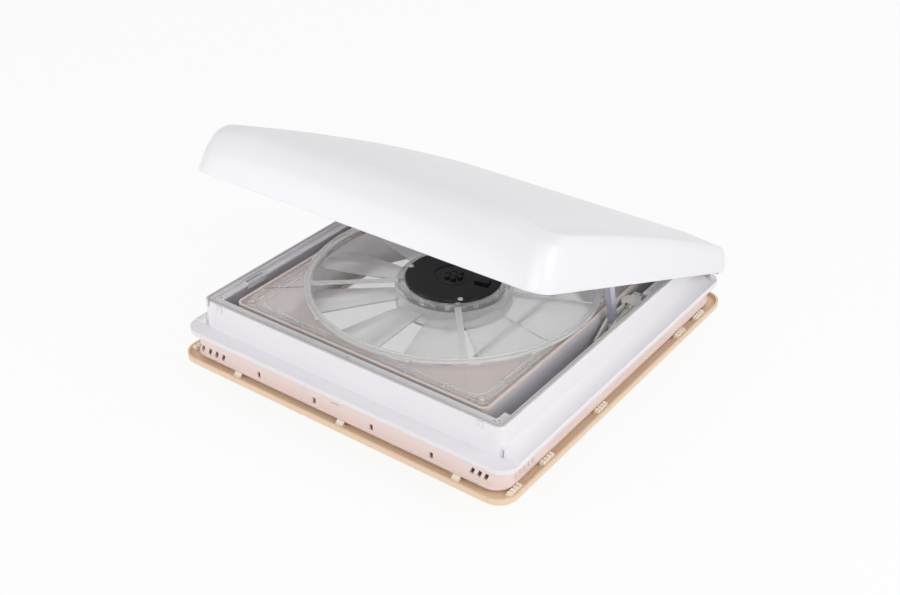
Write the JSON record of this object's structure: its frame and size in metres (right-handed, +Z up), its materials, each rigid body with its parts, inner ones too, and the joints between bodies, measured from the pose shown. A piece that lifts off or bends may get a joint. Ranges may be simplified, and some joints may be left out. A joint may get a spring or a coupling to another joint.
{
  "type": "caravan roof vent",
  "caption": "Square roof vent with a hinged lid raised by a one-sided crank lifter, a fan in a clear carrier, and a ceiling trim.",
  "frame": {"origin": "centre of the flange, on the roof skin that it lies on", "axes": "+Z up out of the roof, +Y towards the lid's hinge, +X towards the lifter"},
  "size_m": [0.4772, 0.504, 0.3191],
  "materials": {
    "frame_white": "satin, cool light grey-white",
    "rail_white": "satin",
    "lid_white": "satin gloss, white",
    "seal_grey": "matt",
    "dark_steel": "dark, satin",
    "track_alloy": "mill finish",
    "arm_steel": "blue-grey, satin",
    "bright_steel": "bright zinc",
    "gear_nylon": "natural nylon",
    "gearbox_cream": "satin cream-green",
    "collar_beige": "satin beige",
    "clear_plastic": "clear, glossy",
    "blade_clear": "translucent, faintly milky",
    "motor_black": "satin black",
    "cap_black": "gloss black",
    "frame_pink": "satin, pinkish white",
    "trim_tan": "satin tan",
    "clip_cream": "satin cream",
    "screen_mesh": "fine woven mesh",
    "dark_plastic": "satin, nearly black",
    "knob_ivory": "satin ivory"
  },
  "bodies": {
    "base": {"outer_frame": "frame_white", "rim_seal": "seal_grey", "inner_rail": "rail_white", "frame_catch": "frame_white", "hinge_bases": "frame_white", "hinge_pins": "dark_steel", "gearbox_housing": "gearbox_cream", "gearbox_cover": "gearbox_cream", "gearbox_screws": "bright_steel", "arm_pin": "bright_steel", "collar": "collar_beige", "fan_carrier": "clear_plastic", "carrier_screws": "bright_steel", "guard_ring": "clear_plastic", "motor_mount": "clear_plastic", "motor_housing": "motor_black", "motor_cap": "cap_black", "motor_plug": "cap_black", "motor_screws": "bright_steel", "ceiling_frame": "frame_pink", "clamp_screws": "bright_steel", "ceiling_trim": "trim_tan", "trim_side_clips": "clip_cream", "trim_front_clips": "clip_cream", "screen_frame": "collar_beige", "fly_screen": "screen_mesh", "control_box": "dark_plastic", "switch_bezel": "dark_plastic", "fuse_cap": "dark_plastic"},
    "lid": {"lid_shell": "lid_white", "lid_rib": "lid_white", "lid_hinge_lugs": "lid_white", "lid_track": "track_alloy"},
    "lift_arm": {"lift_arm": "arm_steel", "sector_gear": "gear_nylon", "roller_pin": "bright_steel"},
    "roller": {"arm_roller": "gear_nylon"},
    "crank": {"worm_shaft": "gear_nylon", "crank_handle": "trim_tan"},
    "crank_grip": {"crank_knob": "dark_plastic"},
    "rotor": {"motor_shaft": "bright_steel", "impeller": "blade_clear", "impeller_nut": "bright_steel"},
    "speed_knob": {"speed_knob": "knob_ivory"},
    "mode_switch": {"mode_switch": "dark_plastic"}
  },
  "joints": [
    {"name": "lid_hinge", "type": "hinge", "parent": "base", "child": "lid", "pos_m": [0, 0.235, 0.017], "axis": [-1, 0, 0], "range_deg": [-22.6, 0]},
    {"name": "arm_swing", "type": "hinge", "parent": "base", "child": "lift_arm", "pos_m": [0.1905, 0.042, 0.02], "axis": [-1, 0, 0], "range_deg": [-65.55, 0]},
    {"name": "roller_spin", "type": "hinge", "parent": "lift_arm", "child": "roller", "pos_m": [0.199, 0.01345, 0.1345], "axis": [1, 0, 0], "continuous": true},
    {"name": "crank_turn", "type": "hinge", "parent": "base", "child": "crank", "pos_m": [0.1905, 0.0835, 0], "axis": [0, 0, 1], "range_deg": [-1311.8, 0]},
    {"name": "grip_spin", "type": "hinge", "parent": "crank", "child": "crank_grip", "pos_m": [0.1905, 0.0415, -0.05], "axis": [0, 0, 1], "continuous": true},
    {"name": "fan_spin", "type": "hinge", "parent": "base", "child": "rotor", "pos_m": [-0.0054, -0.0073, 0], "axis": [0, 0, 1], "continuous": true},
    {"name": "speed_turn", "type": "hinge", "parent": "base", "child": "speed_knob", "pos_m": [0.212, -0.045, -0.034], "axis": [0, 0, -1], "range_deg": [0, 270]},
    {"name": "mode_rock", "type": "hinge", "parent": "base", "child": "mode_switch", "pos_m": [0.212, -0.105, -0.032], "axis": [1, 0, 0], "range_deg": [-8, 8]}
  ],
  "couplings": [
    {"joint": "arm_swing", "follows": "lid_hinge", "ratio": 2.9},
    {"joint": "crank_turn", "follows": "lid_hinge", "ratio": 58}
  ]
}
